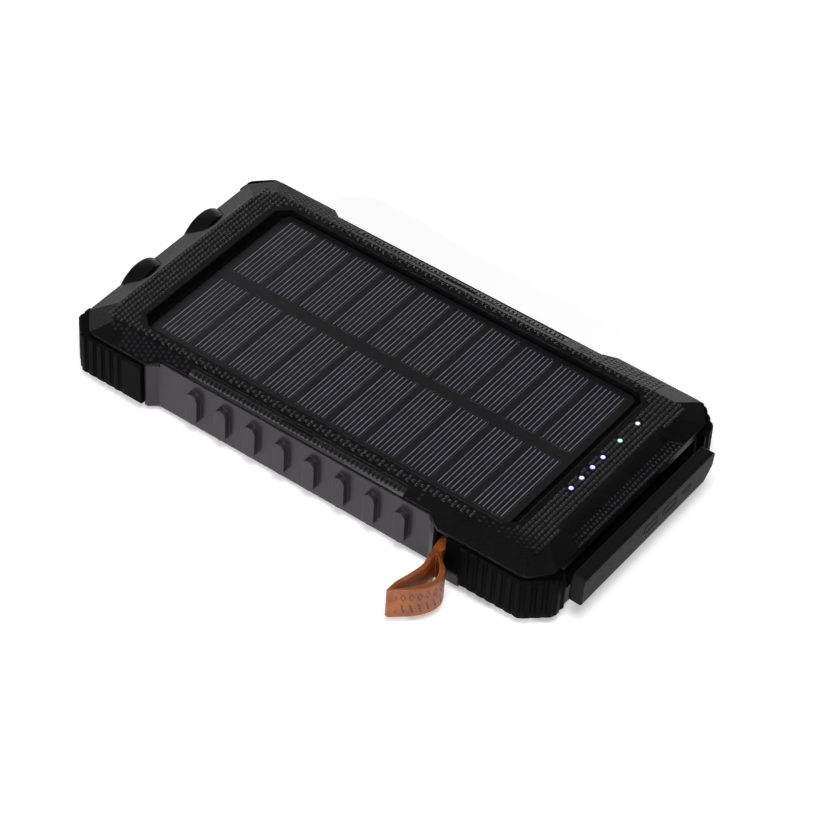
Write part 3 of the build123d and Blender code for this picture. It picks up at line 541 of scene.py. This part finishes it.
def face_y(z):
    """Front face of the closed flap."""
    return -83.1 - 0.35 * (z - 8.9) / 8.3


for cx, w, h in ((-1.5, 6.4, 2.9), (7.2, 6.4, 2.9), (15.0, 4.2, 2.0)):
    lines = [rounded_rect(cx, 13.1, w, h, 0.7), rounded_rect(cx, 13.1, w - 0.25, h - 0.25, 0.6),
             rounded_rect(cx, 13.1, w - 0.95, h - 0.95, 0.35), rounded_rect(cx, 13.1, w - 1.2, h - 1.2, 0.25)]
    outs = (-0.02, 0.11, 0.11, -0.02)
    i0, n = len(verts), len(lines[0])
    for ln, o_ in zip(lines, outs):
        for x_, z_ in ln:
            verts.append((x_, face_y(z_) - o_, z_))
    for r_ in range(3):
        for k_ in range(n):
            a0, a1 = i0 + r_ * n + k_, i0 + r_ * n + (k_ + 1) % n
            faces.append((a0, a0 + n, a1 + n, a1))
mesh_object("flap_relief", verts, faces, "flap_rubber", "flap", smooth=False)

# --------------------------------------------------------------- floor and light
bpy.ops.mesh.primitive_plane_add(size=6.0, location=(0, 0, -0.00002))
floor = bpy.context.object
floor.name = "floor"
fm, fnt, fb = new_material("floor")
fco = fnt.nodes.new("ShaderNodeTexCoord").outputs["Object"]
fnt.links.new(mix_colour(fnt, ramp(fnt, noise(fnt, fco, 3.0), 0.0, 1.0), (0.88, 0.88, 0.88), (0.92, 0.92, 0.92)), fb.inputs["Base Color"])
fb.inputs["Roughness"].default_value = 0.8
fb.inputs["Emission Color"].default_value = (1, 1, 1, 1)
fb.inputs["Emission Strength"].default_value = 0.30
floor.data.materials.append(fm)


def area(name, loc, target, size, power, size_y=None, colour=(1, 1, 1)):
    d = bpy.data.lights.new(name, "AREA")
    d.shape = "RECTANGLE"
    d.size = size
    d.size_y = size_y or size
    d.energy = power
    d.color = colour
    o = bpy.data.objects.new(name, d)
    bpy.context.scene.collection.objects.link(o)
    o.location = loc
    o.rotation_euler = (Vector(target) - Vector(loc)).to_track_quat("-Z", "Y").to_euler()
    return o


c = (0, 0, 0.01)
area("top_left", (-0.45, -0.35, 1.05), c, 0.42, 9.5)
area("left_front", (-0.90, -0.55, 0.42), c, 0.22, 3.0, 0.14)
area("left_torch", (-0.80, 0.42, 0.50), c, 0.12, 4.2, 0.08)
area("front", (0.05, -0.95, 0.55), c, 0.4, 1.0, 0.25)
area("torch_rim", (0.55, 0.85, 0.36), c, 0.5, 2.3, 0.2)
area("right_low", (0.9, 0.30, 0.22), c, 0.25, 0.6, 0.12)

world = bpy.data.worlds.new("world")
bpy.context.scene.world = world
world.use_nodes = True
wn = world.node_tree.nodes["Background"]
wn.inputs["Color"].default_value = (1, 1, 1, 1)
wn.inputs["Strength"].default_value = 0.10
bpy.context.scene.view_settings.view_transform = "Standard"

# ----------------------------------------------------------------------- camera
cam_data = bpy.data.cameras.new("camera")
cam = bpy.data.objects.new("camera", cam_data)
bpy.context.scene.collection.objects.link(cam)
right = Vector((0.602925, -0.796879, 0.038285))
down = Vector((-0.528976, -0.435229, -0.728533))
ahead = Vector((0.597215, 0.418999, -0.68394))
m = Matrix((( right[0], -down[0], -ahead[0]),
            ( right[1], -down[1], -ahead[1]),
            ( right[2], -down[2], -ahead[2]))).to_4x4()
m.translation = Vector((-0.519522, -0.358293, 0.605087))
cam.matrix_world = m
cam_data.sensor_width = 36.0
cam_data.lens = 145.443
cam_data.shift_x = (407.5 - 371.265) / 815
cam_data.shift_y = -(407.5 - 376.278) / 815
cam_data.clip_start = 0.01
cam_data.clip_end = 20
bpy.context.scene.camera = cam
